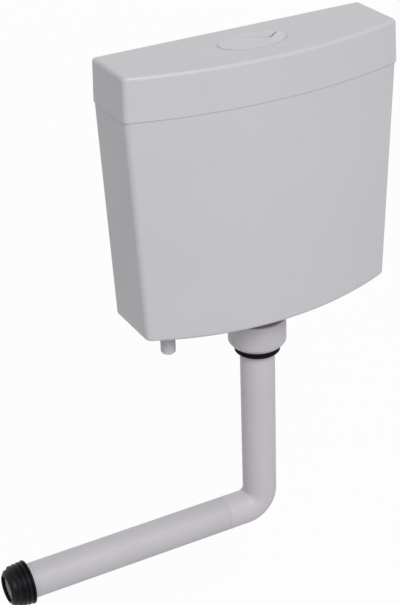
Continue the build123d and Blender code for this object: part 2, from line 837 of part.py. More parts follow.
# Half-flush rocker: the same lever turned round, which lifts the half-flush float
with BuildPart() as half_flush_rocker:
    rocker(-1)
half_flush_rocker.part.label = "half_flush_rocker"
export_step(half_flush_rocker.part, "parts/half_flush_rocker.step")

# Rocker pin: the steel pin across the tower that both rockers turn on
with BuildPart() as rocker_pin:
    with BuildSketch(Plane.YZ.offset(-column_offset - column_thickness)):
        with Locations((valve_y, pivot_z)):
            Circle(rocker_pin_radius)
    extrude(amount=2 * (column_offset + column_thickness))
rocker_pin.part.label = "rocker_pin"
export_step(rocker_pin.part, "parts/rocker_pin.step")

# Half-flush float: a strip that slides in the tower's eyes, hooked over its rocker, with a
# float block low down
with BuildPart() as half_flush_float:
    strip_top_z = hook_z + hook_thickness
    strip_bottom_z = strip_top_z - slider_length
    with BuildSketch(Plane.XY.offset(strip_bottom_z)):
        with Locations((slider_x, slider_y)):
            Rectangle(slider_width, slider_thickness)
    extrude(amount=slider_length)
    with BuildSketch(Plane.XY.offset(hook_z)):
        with Locations((slider_x, valve_y - (hook_inner + hook_outer) / 2)):
            Rectangle(slider_width, hook_outer - hook_inner)
    extrude(amount=hook_thickness)
    with BuildSketch(Plane.XY.offset(upper_guide_z + slider_guide_height + touch_gap)):
        with Locations((slider_x, slider_y)):
            Rectangle(slider_width + 2 * slider_thickness, slider_thickness)
    extrude(amount=slider_thickness)
    with BuildSketch(Plane.XY.offset(strip_bottom_z + slider_float_above_end)):
        with Locations((slider_x, slider_y + slider_thickness / 2 - slider_float_depth / 2)):
            RectangleRounded(slider_float_width, slider_float_depth, slider_thickness)
    extrude(amount=slider_float_height)
half_flush_float.part.label = "half_flush_float"
export_step(half_flush_float.part, "parts/half_flush_float.step")

# The plane through both valves' axes, parallel to the wall, that turned profiles are drawn on
profile_plane = Plane.XZ.offset(outlet_from_wall)
outlet_axis = Axis((0, valve_y, 0), (0, 0, 1))
leg_axis = Axis((0, valve_y, leg_z), (1, 0, 0))

# Union nut: a deep plain cup nut on the outlet tail, straight above and rounded in below
with BuildPart() as union_nut:
    with BuildSketch(profile_plane):
        with BuildLine():
            bore = outlet_tail_radius + union_bore_clearance
            turn_z = union_shoulder_z - union_taper_height / 3
            turn_x = union_radius - (union_radius - union_mouth_radius) * nut_round_share
            Polyline(
                (union_mouth_radius, union_bottom_z),
                (bore, union_bottom_z),
                (bore, union_top_z),
                (union_radius, union_top_z),
                (union_radius, union_shoulder_z),
            )
            ThreePointArc(
                (union_radius, union_shoulder_z), (turn_x, turn_z), (union_mouth_radius, union_bottom_z),
            )
        make_face()
    revolve(axis=outlet_axis)
    top_circles = union_nut.edges().filter_by(GeomType.CIRCLE).group_by(Axis.Z)[-1]
    chamfer(top_circles.sort_by(SortBy.RADIUS)[-1], union_rim_chamfer)
union_nut.part.label = "union_nut"
export_step(union_nut.part, "parts/union_nut.step")

# Pipe seal: a black rubber ring with a wedge inside the nut and a grooved lip that shows below it
with BuildPart() as pipe_seal:
    with BuildSketch(profile_plane):
        with BuildLine():
            seal_bore = pipe_radius + pipe_running_clearance
            lip_z = union_bottom_z - seal_lip_height
            groove_z = union_bottom_z - seal_lip_height / 2
            Polyline(
                (seal_bore, lip_z),
                (seal_lip_radius - seal_edge_round, lip_z),
                (seal_lip_radius, lip_z + seal_edge_round),
                (seal_lip_radius, groove_z - seal_groove_width),
                (seal_groove_radius, groove_z - seal_groove_width / 2),
                (seal_groove_radius, groove_z + seal_groove_width / 2),
                (seal_lip_radius, groove_z + seal_groove_width),
                (seal_lip_radius, union_bottom_z),
                (outlet_tail_radius, union_bottom_z),
                (outlet_tail_radius, outlet_end_z - seal_tip_height),
                (seal_bore + seal_tip_thickness, outlet_end_z - touch_gap),
                (seal_bore, outlet_end_z - touch_gap),
                (seal_bore, lip_z),
            )
        make_face()
    revolve(axis=outlet_axis)
pipe_seal.part.label = "pipe_seal"
export_step(pipe_seal.part, "parts/pipe_seal.step")

# Flush bend: the plastic pipe that drops from the outlet and turns tightly to the left
with BuildPart() as flush_bend:
    drop_end_z = leg_z + elbow_radius
    with BuildSketch(Plane.XY.offset(drop_end_z)) as pipe_section:
        with Locations((0, valve_y)):
            Circle(pipe_radius)
            Circle(pipe_bore_radius, mode=Mode.SUBTRACT)
    extrude(pipe_section.sketch, amount=pipe_top_z - drop_end_z)
    revolve(
        pipe_section.sketch, axis=Axis((-elbow_radius, valve_y, drop_end_z), (0, 1, 0)), revolution_arc=90,
    )
    with BuildSketch(Plane.YZ.offset(bend_end_x)) as stub_section:
        with Locations((valve_y, leg_z)):
            Circle(pipe_radius)
            Circle(pipe_bore_radius, mode=Mode.SUBTRACT)
    extrude(stub_section.sketch, amount=bend_stub)
    stub_circles = flush_bend.edges().filter_by(GeomType.CIRCLE).group_by(Axis.X)[0]
    chamfer(stub_circles.sort_by(SortBy.RADIUS)[-1], joint_chamfer)
flush_bend.part.label = "flush_bend"
export_step(flush_bend.part, "parts/flush_bend.step")

# Flush leg: the straight pipe to the pan, with a spigot that is cemented into the bend
with BuildPart() as flush_leg:
    spigot_radius = pipe_bore_radius - spigot_clearance
    with BuildSketch(Plane.YZ.offset(leg_end_x)):
        with Locations((valve_y, leg_z)):
            Circle(pipe_radius)
    extrude(amount=bend_end_x - leg_end_x)
    chamfer(flush_leg.edges().group_by(Axis.X)[-1], joint_chamfer)
    with BuildSketch(Plane.YZ.offset(bend_end_x)):
        with Locations((valve_y, leg_z)):
            Circle(spigot_radius)
    extrude(amount=leg_spigot_length)
    with BuildSketch(Plane.YZ.offset(leg_end_x - overrun)):
        with Locations((valve_y, leg_z)):
            Circle(spigot_radius - pipe_wall)
    extrude(amount=bend_end_x + leg_spigot_length - leg_end_x + 2 * overrun, mode=Mode.SUBTRACT)
flush_leg.part.label = "flush_leg"
export_step(flush_leg.part, "parts/flush_leg.step")

# Flush cone: a black rubber connector pushed over the leg's end. Its inner lip stops the pipe, and
# low fins that shrink a little towards the mouth seal in the pan's inlet.
with BuildPart() as flush_cone:
    mouth_x = leg_end_x - cone_lip_length
    cone_back_x = mouth_x + cone_length
    grip_radius = pipe_radius + spigot_clearance
    sleeve_radius = grip_radius + cone_sleeve_wall
    first_fin_x = cone_back_x - cone_fin_slope - (cone_fin_count - 1) * cone_fin_pitch - cone_fin_width
    outline = [
        (mouth_x, cone_mouth_radius),
        (mouth_x, cone_rim_radius),
        (mouth_x + cone_rim_round, cone_rim_radius + cone_rim_round),
        (mouth_x + cone_nose_length, cone_nose_radius),
        (first_fin_x - 2 * cone_fin_slope, sleeve_radius),
    ]
    for fin in range(cone_fin_count):
        fin_x = first_fin_x + fin * cone_fin_pitch
        fin_top = cone_fin_radius - (cone_fin_count - 1 - fin) * cone_fin_step
        outline.append((fin_x - cone_fin_slope, cone_groove_radius))
        outline.append((fin_x, fin_top))
        outline.append((fin_x + cone_fin_width, fin_top))
        outline.append((fin_x + cone_fin_width + cone_fin_slope, cone_groove_radius))
    outline.append((cone_back_x, grip_radius))
    outline.append((leg_end_x, grip_radius))
    outline.append((leg_end_x, cone_mouth_radius))
    outline.append(outline[0])
    with BuildSketch(profile_plane):
        with BuildLine():
            Polyline(*[(x, leg_z + radius) for x, radius in outline])
        make_face()
        with Locations((mouth_x + cone_lip_length / 2, leg_z + cone_mouth_radius)):
            Circle(cone_mouth_groove, mode=Mode.SUBTRACT)
    revolve(axis=leg_axis)
flush_cone.part.label = "flush_cone"
export_step(flush_cone.part, "parts/flush_cone.step")

# Inlet tail: the threaded shank of the float valve, through the floor at the left
with BuildPart() as inlet_tail:
    tail_end_z = inlet_pad_bottom_z - inlet_tail_length
    shank_z = inlet_pad_bottom_z - inlet_nut_height - inlet_shank_below_nut
    ring(tail_end_z, shank_z - tail_end_z, inlet_thread_radius, centre_x=inlet_x)
    chamfer(inlet_tail.edges().group_by(Axis.Z)[0], inlet_end_chamfer)
    ring(shank_z, riser_bottom_z - shank_z, inlet_shank_radius, centre_x=inlet_x)
    ring(inlet_flange_z, inlet_flange_thickness, inlet_flange_radius, centre_x=inlet_x)
    ring(
        tail_end_z - overrun, riser_bottom_z - tail_end_z + 2 * overrun, inlet_bore_radius,
        centre_x=inlet_x, mode=Mode.SUBTRACT,
    )
inlet_tail.part.label = "inlet_tail"
export_step(inlet_tail.part, "parts/inlet_tail.step")

# Inlet washer: rubber, between the floor pad and the tail's flange
with BuildPart() as inlet_washer:
    ring(
        inlet_pad_top_z, inlet_washer_thickness, inlet_flange_radius,
        inlet_thread_radius + inlet_hole_clearance, inlet_x,
    )
inlet_washer.part.label = "inlet_washer"
export_step(inlet_washer.part, "parts/inlet_washer.step")

# Inlet backnut: a plastic hexagon nut under the floor
with BuildPart() as inlet_backnut:
    with BuildSketch(Plane.XY.offset(inlet_pad_bottom_z - inlet_nut_height)):
        with Locations((inlet_x, valve_y)):
            RegularPolygon(inlet_nut_width / 2, 6, major_radius=False)
            Circle(inlet_shank_radius + thread_clearance, mode=Mode.SUBTRACT)
    extrude(amount=inlet_nut_height)
inlet_backnut.part.label = "inlet_backnut"
export_step(inlet_backnut.part, "parts/inlet_backnut.step")

# Inlet strainer: a slotted thimble pushed into the tail
with BuildPart() as inlet_strainer:
    strainer_radius = inlet_bore_radius - spigot_clearance
    strainer_z = tail_end_z + strainer_lip
    ring(strainer_z, strainer_length, strainer_radius, centre_x=inlet_x)
    ring(
        strainer_z - overrun, strainer_length - strainer_wall + overrun, strainer_radius - strainer_wall,
        centre_x=inlet_x, mode=Mode.SUBTRACT,
    )
    for row in range(strainer_rows):
        slot_z = strainer_z + strainer_length * (row + 1) / (strainer_rows + 1)
        with Locations((inlet_x, valve_y, slot_z)):
            Box(2 * inlet_bore_radius, strainer_slot_width, strainer_slot_height, mode=Mode.SUBTRACT)
            Box(strainer_slot_width, 2 * inlet_bore_radius, strainer_slot_height, mode=Mode.SUBTRACT)
inlet_strainer.part.label = "inlet_strainer"
export_step(inlet_strainer.part, "parts/inlet_strainer.step")

# Float valve riser: the hollow column that carries the water up, with the float's stop
with BuildPart() as valve_riser:
    stop_top_z = float_bottom_z - float_rest_gap
    ring(riser_bottom_z, riser_top_z - riser_bottom_z, riser_radius, riser_radius - riser_wall, inlet_x)
    ring(
        stop_top_z - riser_stop_thickness, riser_stop_thickness, riser_stop_radius,
        riser_radius - riser_wall, inlet_x,
    )
valve_riser.part.label = "valve_riser"
export_step(valve_riser.part, "parts/valve_riser.step")

# Float valve head: sits on the riser and turns the water over to the refill tube
with BuildPart() as valve_head:
    refill_x = inlet_x - refill_offset
    socket_top_z = riser_top_z + refill_socket_height
    socket_bottom_z = socket_top_z - refill_socket_height - refill_socket_cover / 2
    ring(riser_top_z, head_height, head_radius, centre_x=inlet_x)
    ring(socket_bottom_z, socket_top_z - socket_bottom_z, refill_socket_radius, centre_x=refill_x)
    with BuildSketch(Plane.XY.offset(riser_top_z)):
        with Locations(((inlet_x + refill_x) / 2, valve_y)):
            Rectangle(refill_offset, 2 * riser_radius - riser_wall)
    extrude(amount=refill_socket_height - cap_skirt)
    ring(
        socket_bottom_z - overrun, refill_socket_cover + overrun, refill_radius + spigot_clearance,
        centre_x=refill_x, mode=Mode.SUBTRACT,
    )
valve_head.part.label = "valve_head"
export_step(valve_head.part, "parts/valve_head.step")

# Refill tube: carries the water quietly down to the floor
with BuildPart() as refill_tube:
    refill_top_z = socket_bottom_z + refill_socket_cover
    ring(refill_top_z - refill_length, refill_length, refill_radius, refill_radius - refill_wall, refill_x)
refill_tube.part.label = "refill_tube"
export_step(refill_tube.part, "parts/refill_tube.step")

# Diaphragm: the rubber disc under the cap that shuts the water off
with BuildPart() as valve_diaphragm:
    ring(head_top_z, diaphragm_thickness, diaphragm_radius, centre_x=inlet_x)
valve_diaphragm.part.label = "valve_diaphragm"
export_step(valve_diaphragm.part, "parts/valve_diaphragm.step")

# Valve cap: screws over the head, with the push pin's collar and two ears for the lever
with BuildPart() as valve_cap:
    cap_bore = head_radius + cap_clearance
    ring(cap_z - cap_skirt, cap_skirt, cap_bore + cap_wall, cap_bore, inlet_x)
    ring(cap_z, cap_top, cap_bore + cap_wall, centre_x=inlet_x)
    ring(cap_top_z, cap_pin_height, cap_pin_radius, centre_x=inlet_x)
    ear_y = lever_width / 2 + lever_ear_gap + lever_ear_thickness / 2
    with BuildSketch(Plane.XZ.offset(-valve_y)) as ear:
        with Locations((lever_x, (cap_top_z + lever_z) / 2)):
            Rectangle(lever_ear_width, lever_z - cap_top_z)
        with Locations((lever_x, lever_z)):
            Circle(lever_ear_width / 2)
            Circle(lever_pin_radius + pin_running_clearance, mode=Mode.SUBTRACT)
    for place in (ear_y, -ear_y):
        centre = Location((0, place + lever_ear_thickness / 2, 0))
        extrude(ear.sketch.moved(centre), amount=lever_ear_thickness)
valve_cap.part.label = "valve_cap"
export_step(valve_cap.part, "parts/valve_cap.step")

# Lever pin
with BuildPart() as lever_pin:
    pin_half = ear_y + lever_ear_thickness / 2
    with BuildSketch(Plane.XZ.offset(-valve_y - pin_half)):
        with Locations((lever_x, lever_z)):
            Circle(lever_pin_radius)
    extrude(amount=2 * pin_half)
lever_pin.part.label = "lever_pin"
export_step(lever_pin.part, "parts/lever_pin.step")

# Float lever: pivots on the cap, pushed up by the float rod, and shuts the valve with its nose
with BuildPart() as float_lever:
    nose_x_end = lever_x - lever_nose_length
    lever_tip_x = rod_x + lever_slot_length / 2 + lever_thickness
    with BuildSketch(Plane.XZ.offset(-valve_y - lever_width / 2)) as lever_side:
        with Locations(((nose_x_end + lever_tip_x) / 2, lever_z)):
            Rectangle(lever_tip_x - nose_x_end, lever_thickness)
        with Locations((lever_x, lever_z)):
            Circle(lever_hub_radius)
            Circle(lever_pin_radius + pin_running_clearance, mode=Mode.SUBTRACT)
    extrude(lever_side.sketch, amount=lever_width)
    with BuildSketch(Plane.XY.offset(lever_z - lever_thickness)) as lever_slot:
        with Locations((rod_x, valve_y)):
            SlotOverall(lever_slot_length, lever_slot_width)
    extrude(lever_slot.sketch, amount=2 * lever_thickness, mode=Mode.SUBTRACT)
float_lever.part.label = "float_lever"
export_step(float_lever.part, "parts/float_lever.step")

# Float: an upturned cup that slides on the riser
with BuildPart() as float_cup:
    float_middle_x = inlet_x + (float_right - float_left) / 2
    float_length = float_left + float_right
    with BuildSketch(Plane.XY.offset(float_bottom_z)):
        with Locations((float_middle_x, valve_y)):
            RectangleRounded(float_length, float_width, float_corner)
    extrude(amount=float_height)
    with BuildSketch(Plane.XY.offset(float_bottom_z)):
        with Locations((float_middle_x, valve_y)):
            RectangleRounded(
                float_length - 2 * float_wall, float_width - 2 * float_wall, float_corner - float_wall,
            )
    extrude(amount=float_height - float_wall, mode=Mode.SUBTRACT)
    ring(
        float_bottom_z, float_height, riser_radius + float_clearance + float_sleeve_wall,
        centre_x=inlet_x,
    )
    ring(
        float_bottom_z - overrun, float_height + 2 * overrun, riser_radius + float_clearance,
        centre_x=inlet_x, mode=Mode.SUBTRACT,
    )
float_cup.part.label = "float_cup"
export_step(float_cup.part, "parts/float_cup.step")

# Float rod: stands on the float and passes through the lever's slot between two nuts
with BuildPart() as float_rod:
    lower_nut_top_z = lever_z - lever_thickness / 2 - float_nut_play
    upper_nut_z = lever_z + lever_thickness / 2 + float_nut_play
    ring(float_top_z, float_rod_top - float_top_z, float_rod_radius, centre_x=rod_x)
    ring(lower_nut_top_z - float_nut_height, float_nut_height, float_nut_radius, centre_x=rod_x)
    ring(upper_nut_z, float_nut_height, float_nut_radius, centre_x=rod_x)
float_rod.part.label = "float_rod"
export_step(float_rod.part, "parts/float_rod.step")
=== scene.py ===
from math import cos, pi, radians, sin

import bmesh
import bpy
from mathutils import Matrix, Vector


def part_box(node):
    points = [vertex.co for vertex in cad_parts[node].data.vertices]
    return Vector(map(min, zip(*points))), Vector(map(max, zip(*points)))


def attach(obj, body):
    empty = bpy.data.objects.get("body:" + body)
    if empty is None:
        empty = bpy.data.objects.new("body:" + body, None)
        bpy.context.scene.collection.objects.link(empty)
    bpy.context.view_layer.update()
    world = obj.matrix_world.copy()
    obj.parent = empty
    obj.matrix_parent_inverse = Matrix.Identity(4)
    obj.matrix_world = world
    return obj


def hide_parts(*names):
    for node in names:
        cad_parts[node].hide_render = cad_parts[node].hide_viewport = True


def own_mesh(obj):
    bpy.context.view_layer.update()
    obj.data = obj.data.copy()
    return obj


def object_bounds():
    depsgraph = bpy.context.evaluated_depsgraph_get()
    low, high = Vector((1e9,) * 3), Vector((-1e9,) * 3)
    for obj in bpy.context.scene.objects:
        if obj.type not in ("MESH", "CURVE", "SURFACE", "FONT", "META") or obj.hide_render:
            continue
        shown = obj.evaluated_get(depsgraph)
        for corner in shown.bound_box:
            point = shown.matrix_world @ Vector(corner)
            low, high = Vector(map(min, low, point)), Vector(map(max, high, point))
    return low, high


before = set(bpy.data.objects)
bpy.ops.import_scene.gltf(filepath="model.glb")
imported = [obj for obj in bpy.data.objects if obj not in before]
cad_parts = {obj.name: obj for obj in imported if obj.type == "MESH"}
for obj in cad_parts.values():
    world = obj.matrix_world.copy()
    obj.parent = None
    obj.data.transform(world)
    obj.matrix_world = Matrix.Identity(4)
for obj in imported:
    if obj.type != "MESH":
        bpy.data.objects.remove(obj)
cad_box = [list(corner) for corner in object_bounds()]
scene = bpy.context.scene
scene.view_settings.view_transform = "Standard"

# The camera stands to the left of the cistern and well above its lid, and looks down at 29 degrees.
# It is a long lens from two metres away, which keeps the perspective mild.
camera_place = Vector((-0.9397, -1.7060, 0.7546))
camera_forward = Vector((0.38587, 0.784, -0.48627)).normalized()
camera_up = Vector((0.25546, 0.41567, 0.8729))
camera_lens = 91.897
camera_shift = (0.04321, 0.0213)
camera_sensor = 36

camera_data = bpy.data.cameras.new("camera")
camera_data.sensor_width = camera_sensor
camera_data.lens = camera_lens
camera_data.shift_x, camera_data.shift_y = camera_shift
camera = bpy.data.objects.new("camera", camera_data)
camera_right = camera_forward.cross(camera_up).normalized()
camera_top = camera_right.cross(camera_forward)
camera.matrix_world = Matrix.Translation(camera_place) @ Matrix(
    (camera_right, camera_top, -camera_forward)
).transposed().to_4x4()
scene.collection.objects.link(camera)
scene.camera = camera


# One output of a node in a node tree. Sums and products add Math nodes, and node() adds a node of
# any other type: its settings first, then the values or links of its sockets.
class Output:
    def __init__(self, tree, socket=None):
        self.tree = tree
        self.socket = socket

    def node(self, kind, settings=None, values=None, output=0):
        node = self.tree.nodes.new(kind)
        for name, setting in (settings or {}).items():
            setattr(node, name, setting)
        for key, value in (values or {}).items():
            if isinstance(value, Output):
                self.tree.links.new(value.socket, node.inputs[key])
            else:
                node.inputs[key].default_value = value
        return Output(self.tree, node.outputs[output])

    def maths(self, operation, first, second):
        return self.node("ShaderNodeMath", {"operation": operation}, {0: first, 1: second})

    def __add__(self, other):
        return self.maths("ADD", self, other)

    def __mul__(self, other):
        return self.maths("MULTIPLY", self, other)

    __radd__ = __add__
    __rmul__ = __mul__

    def noise(self, scale, detail=2.0):
        return self.node(
            "ShaderNodeTexNoise", {}, {"Vector": self, "Scale": scale, "Detail": detail}
        )

    def stretched(self, scale):
        return self.node("ShaderNodeMapping", {}, {"Vector": self, "Scale": scale})

    def ramp(self, low, high):
        return self.node(
            "ShaderNodeMapRange", {"interpolation_type": "SMOOTHSTEP"},
            {"Value": self, "From Min": low, "From Max": high},
        )

    def blend(self, first, second):
        factor, first_colour, second_colour, mixed = 0, 6, 7, 2
        return self.node(
            "ShaderNodeMix", {"data_type": "RGBA"},
            {factor: self, first_colour: first, second_colour: second}, mixed,
        )

    def bump(self, depth):
        return self.node("ShaderNodeBump", {}, {"Height": self, "Distance": depth})

    def seen_by_lens(self):
        path = self.node("ShaderNodeLightPath").socket.node
        camera, glossy, transmission = (
            Output(self.tree, path.outputs["Is " + ray + " Ray"])
            for ray in ("Camera", "Glossy", "Transmission")
        )
        return self.maths("MAXIMUM", self.maths("MAXIMUM", camera, glossy), transmission)


# The room: a white surround that fills the shadows evenly, a large soft lamp in front of and above
# the cistern, a weaker one low behind it, and a pale floor well below the pipe. What the lens and
# reflections see is white.
fill_strength = 0.44
fill_tint = (0.985, 0.965, 1.0, 1)
front_lamp_direction = Vector((-0.085, -0.715, 0.70)).normalized()
front_lamp_power = 305.0
back_lamp_direction = Vector((0.35, 0.92, 0.16)).normalized()
back_lamp_power = 105.0
lamp_distance = 7.0
lamp_size = 3.4
floor_below = 0.22
floor_size = 14.0
floor_white = (0.66, 0.66, 0.66, 1)
floor_glow_share = 0.96
lamp_aim = Vector((0, -0.06, -0.2))
full_white = (1, 1, 1, 1)

world = bpy.data.worlds.new("surround")
scene.world = world
world.use_nodes = True
seen = Output(world.node_tree).seen_by_lens()
background = world.node_tree.nodes["Background"]
strength = fill_strength + (1 - fill_strength) * seen
for output, name in ((seen.blend(fill_tint, full_white), "Color"), (strength, "Strength")):
    world.node_tree.links.new(output.socket, background.inputs[name])

for name, direction, power in (
    ("front_lamp", front_lamp_direction, front_lamp_power),
    ("back_lamp", back_lamp_direction, back_lamp_power),
):
    lamp_data = bpy.data.lights.new(name, "AREA")
    lamp_data.shape = "DISK"
    lamp_data.size = lamp_size
    lamp_data.energy = power
    lamp = bpy.data.objects.new(name, lamp_data)
    lamp.location = lamp_aim + direction * lamp_distance
    lamp.rotation_euler = direction.to_track_quat("Z", "Y").to_euler()
    lamp.visible_glossy = name == "front_lamp"
    scene.collection.objects.link(lamp)

floor_z = cad_box[0][2] - floor_below
half_floor = floor_size / 2
floor_mesh = bpy.data.meshes.new("floor")
floor_mesh.from_pydata(
    [(x * half_floor, y * half_floor, floor_z) for x, y in ((-1, -1), (1, -1), (1, 1), (-1, 1))],
    [], [(0, 1, 2, 3)],
)
floor = bpy.data.objects.new("floor", floor_mesh)
scene.collection.objects.link(floor)
floor_material = bpy.data.materials.new("pale_floor")
floor_material.use_nodes = True
floor_tree = floor_material.node_tree
floor_tree.nodes.remove(floor_tree.nodes["Principled BSDF"])
floor_start = Output(floor_tree)
floor_matt = floor_start.node("ShaderNodeBsdfDiffuse", {}, {"Color": floor_white})
floor_glow = floor_start.node("ShaderNodeEmission", {}, {"Color": full_white, "Strength": 1.0})
floor_mixed = floor_start.node(
    "ShaderNodeMixShader", {},
    {0: floor_start.seen_by_lens() * floor_glow_share, 1: floor_matt, 2: floor_glow},
)
floor_tree.links.new(floor_mixed.socket, floor_tree.nodes["Material Output"].inputs["Surface"])
floor_mesh.materials.append(floor_material)

# Tank: one injection moulding in satin white plastic. The skin has a faint orange peel from the
# mould, slow drifts in tone, and a few scuffs that only change the gloss.
tank_white = (0.562, 0.555, 0.571, 1)
tank_shade = (0.553, 0.545, 0.563, 1)
tank_roughness = 0.42
plastic_gloss = 0.4
drift_scale = 8.0
drift_detail = 3.0
drift_band = (0.3, 0.7)
peel_scale = 220.0
peel_depth = 0.000008
mould_grain_scale = 1500.0
mould_grain_share = 0.15
scuff_scale = 160.0
scuff_detail = 6.0
scuff_band = (0.62, 0.72)
drift_dulling = 0.03
scuff_dulling = 0.12
srgb_knee = 0.04045
srgb_slope = 12.92
srgb_offset = 0.055
srgb_power = 2.4


def srgb(red, green, blue):
    levels = [level / 255 for level in (red, green, blue)]
    return tuple(
        level / srgb_slope if level < srgb_knee
        else ((level + srgb_offset) / (1 + srgb_offset)) ** srgb_power
        for level in levels
    ) + (1,)


def start_material(name):
    material = bpy.data.materials.new(name)
    material.use_nodes = True
    place = Output(material.node_tree).node("ShaderNodeTexCoord", output="Object")
    return material, place


def end_material(material, links, constants):
    shader = material.node_tree.nodes["Principled BSDF"]
    for name, output in links.items():
        material.node_tree.links.new(output.socket, shader.inputs[name])
    for name, value in constants.items():
        shader.inputs[name].default_value = value
    return material


def moulded_plastic(name, light, dark, roughness, depth=peel_depth):
    material, place = start_material(name)
    drift = place.noise(drift_scale, drift_detail).ramp(*drift_band)
    peel = place.noise(peel_scale)
    grain = place.noise(mould_grain_scale)
    scuffs = place.noise(scuff_scale, scuff_detail).ramp(*scuff_band)
    return end_material(
        material,
        {
            "Base Color": drift.blend(light, dark),
            "Roughness": roughness + drift_dulling * drift + scuff_dulling * scuffs,
            "Normal": (peel + mould_grain_share * grain).bump(depth),
        },
        {"Specular IOR Level": plastic_gloss},
    )


def dress(material, *names):
    for name in names:
        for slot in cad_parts[name].material_slots:
            slot.material = material


dress(moulded_plastic("tank_plastic", tank_white, tank_shade, tank_roughness), "tank")

# Lid: moulded in the same white plastic as the tank, from another tool that leaves it a trace
# glossier. It drops over the tank's upstand.
lid_white = (0.562, 0.555, 0.571, 1)
lid_shade = (0.553, 0.545, 0.563, 1)
lid_roughness = 0.40

dress(moulded_plastic("lid_plastic", lid_white, lid_shade, lid_roughness), "lid")

# Push button: two crowned caps in an oval tray, in white plastic. The caps have more gloss than the
# lid, because they are handled and wiped. The half flush cap is painted a trace darker, as painted
# shade.
button_white = (0.575, 0.572, 0.592, 1)
button_shade = (0.548, 0.543, 0.562, 1)
# Painted shade: the half flush cap's colours are a trace darker than the full cap's.
half_white_painted_shade = (0.532, 0.527, 0.548, 1)
half_dark_painted_shade = (0.508, 0.501, 0.523, 1)
button_roughness = 0.30
button_peel_depth = 0.000004
# Painted light: the tray and its collar nut are painted lighter than the lid, which lifts the shade
# in the gap around the caps.
tray_white_painted_light = (0.66, 0.655, 0.67, 1)
tray_dark_painted_light = (0.63, 0.625, 0.64, 1)
tray_roughness = 0.38

for press, light, dark in (("full", button_white, button_shade), ("half", half_white_painted_shade, half_dark_painted_shade)):
    dress(
        moulded_plastic(
            press + "_button_plastic", light, dark, button_roughness, button_peel_depth
        ),
        press + "_flush_button",
    )
tray_painted_light_plastic = moulded_plastic("tray_painted_light_plastic", tray_white_painted_light, tray_dark_painted_light, tray_roughness)
dress(tray_painted_light_plastic, "button_tray", "button_collar_nut")

# Push rods: two plain rods in natural acetal, off-white and waxy, with fine draw lines along them.
# Each hangs from the underside of its own button and pushes a rocker.
rod_natural = srgb(226, 224, 214)
rod_shade = srgb(214, 211, 200)
rod_roughness = 0.34
rod_line_scale = 900.0
line_detail = 1.0
drawn_drift_scale = 10.0
drawn_grain_scale = 1200.0
drawn_grain_share = 0.3
drawn_depth = 0.00001
line_dulling = 0.10
along_x = (0.02, 1, 1)
along_z = (1, 1, 0.02)


def drawn_plastic(name, light, dark, roughness, along, line_scale):
    material, place = start_material(name)
    drift = place.noise(drawn_drift_scale, drift_detail).ramp(*drift_band)
    lines = place.stretched(along).noise(line_scale, line_detail)
    grain = place.noise(drawn_grain_scale)
    return end_material(
        material,
        {
            "Base Color": drift.blend(light, dark),
            "Roughness": roughness + line_dulling * lines,
            "Normal": (lines + drawn_grain_share * grain).bump(drawn_depth),
        },
        {"Specular IOR Level": plastic_gloss},
    )


rod_plastic = drawn_plastic(
    "rod_plastic", rod_natural, rod_shade, rod_roughness, along_z, rod_line_scale
)
dress(rod_plastic, "full_push_rod", "half_push_rod")

# Button springs: hard stainless wire wound in an open coil. The tree winds springs and threads: a
# spiral line swept with a round or four-sided profile.
spring_coil_radius = 0.0037
spring_wire_radius = 0.0004
spring_turns = 8
spring_turn_steps = 24
spring_wire_sides = 8
spring_smooth_angle = 60
spring_steel = srgb(176, 176, 178)
spring_steel_shade = srgb(150, 150, 153)
spring_roughness = 0.24
unstretched = (1, 1, 1)
metal_drift_scale = 30.0
metal_line_scale = 2200.0
metal_line_depth = 0.000004
metal_line_dulling = 0.12
weld_distance = 1e-6


def drawn_metal(name, light, dark, roughness, along):
    material, place = start_material(name)
    drift = place.noise(metal_drift_scale, drift_detail).ramp(*drift_band)
    lines = place.stretched(along).noise(metal_line_scale, line_detail)
    return end_material(
        material,
        {
            "Base Color": drift.blend(light, dark),
            "Roughness": roughness + metal_line_dulling * lines,
            "Normal": lines.bump(metal_line_depth),
        },
        {"Metallic": 1.0},
    )


def winding_tree():
    tree = bpy.data.node_groups.new("winding", "GeometryNodeTree")
    for name in ("Coil Radius", "Height", "Turns", "Wire Radius"):
        tree.interface.new_socket(name, in_out="INPUT", socket_type="NodeSocketFloat")
    for name in ("Turn Steps", "Wire Sides"):
        tree.interface.new_socket(name, in_out="INPUT", socket_type="NodeSocketInt")
    tree.interface.new_socket("Place", in_out="INPUT", socket_type="NodeSocketVector")
    tree.interface.new_socket("Material", in_out="INPUT", socket_type="NodeSocketMaterial")
    tree.interface.new_socket("Geometry", in_out="OUTPUT", socket_type="NodeSocketGeometry")
    start = Output(tree).node("NodeGroupInput")
    given = {socket.name: Output(tree, socket) for socket in start.socket.node.outputs}
    spiral = start.node(
        "GeometryNodeCurveSpiral", {},
        {
            "Resolution": given["Turn Steps"], "Rotations": given["Turns"],
            "Start Radius": given["Coil Radius"], "End Radius": given["Coil Radius"],
            "Height": given["Height"],
        },
    )
    level = start.node("GeometryNodeSetCurveNormal", {"mode": "Z_UP"}, {"Curve": spiral})
    wire = start.node(
        "GeometryNodeCurvePrimitiveCircle", {},
        {"Resolution": given["Wire Sides"], "Radius": given["Wire Radius"]},
    )
    swept = start.node(
        "GeometryNodeCurveToMesh", {}, {"Curve": level, "Profile Curve": wire, "Fill Caps": True}
    )
    placed = start.node(
        "GeometryNodeTransform", {}, {"Geometry": swept, "Translation": given["Place"]}
    )
    real = start.node("GeometryNodeRealizeInstances", {}, {"Geometry": placed})
    coated = start.node(
        "GeometryNodeSetMaterial", {}, {"Geometry": real, "Material": given["Material"]}
    )
    end = tree.nodes.new("NodeGroupOutput")
    tree.links.new(coated.socket, end.inputs["Geometry"])
    return tree


winding = winding_tree()


